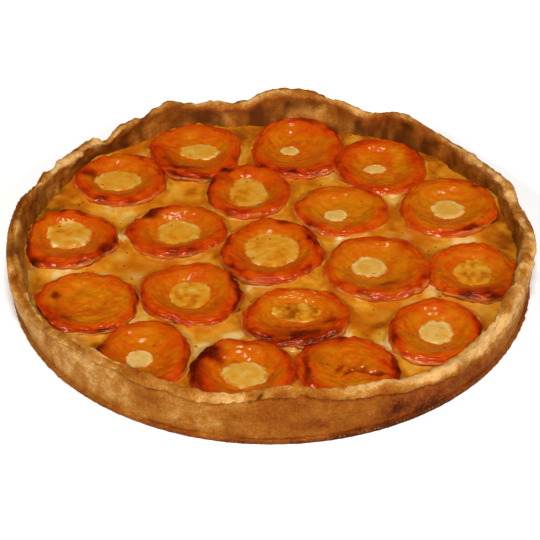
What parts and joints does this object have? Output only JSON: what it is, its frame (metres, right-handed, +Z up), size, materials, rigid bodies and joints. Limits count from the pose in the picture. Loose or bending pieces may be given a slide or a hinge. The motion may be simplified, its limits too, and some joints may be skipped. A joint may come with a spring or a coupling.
{
  "type": "apricot tart",
  "caption": "Round shortcrust tart shell with a wavy hand-pressed rim, filled with baked custard and rings of roasted apricot halves, cut side up.",
  "frame": {"origin": "middle of the tart's underside, on the surface that it stands on", "axes": "+Z up, -Y towards the front, +X to the right of someone who faces the front"},
  "size_m": [0.2662, 0.262, 0.032],
  "materials": {
    "shortcrust": "baked shortcrust pastry, matt, tan to deep golden brown",
    "baked_custard": "baked egg custard, glazed, golden yellow with scorched specks",
    "roast_apricot": "roasted apricot flesh and skin, wet gloss, orange with red and burnt edges"
  },
  "bodies": {
    "root": {"crust": "shortcrust", "custard": "baked_custard", "apricot_01": "roast_apricot", "apricot_02": "roast_apricot", "apricot_03": "roast_apricot", "apricot_04": "roast_apricot", "apricot_05": "roast_apricot", "apricot_06": "roast_apricot", "apricot_07": "roast_apricot", "apricot_08": "roast_apricot", "apricot_09": "roast_apricot", "apricot_10": "roast_apricot", "apricot_11": "roast_apricot", "apricot_12": "roast_apricot", "apricot_13": "roast_apricot", "apricot_14": "roast_apricot", "apricot_15": "roast_apricot", "apricot_16": "roast_apricot", "apricot_17": "roast_apricot", "apricot_18": "roast_apricot", "apricot_19": "roast_apricot", "custard_pool_01": "baked_custard", "custard_pool_02": "baked_custard", "custard_pool_03": "baked_custard", "custard_pool_04": "baked_custard", "custard_pool_05": "baked_custard", "custard_pool_06": "baked_custard", "custard_pool_07": "baked_custard", "custard_pool_08": "baked_custard", "custard_pool_09": "baked_custard", "custard_pool_10": "baked_custard", "custard_pool_11": "baked_custard", "custard_pool_12": "baked_custard", "custard_pool_13": "baked_custard", "custard_pool_14": "baked_custard", "custard_pool_16": "baked_custard", "custard_pool_17": "baked_custard", "custard_pool_19": "baked_custard"}
  },
  "joints": []
}
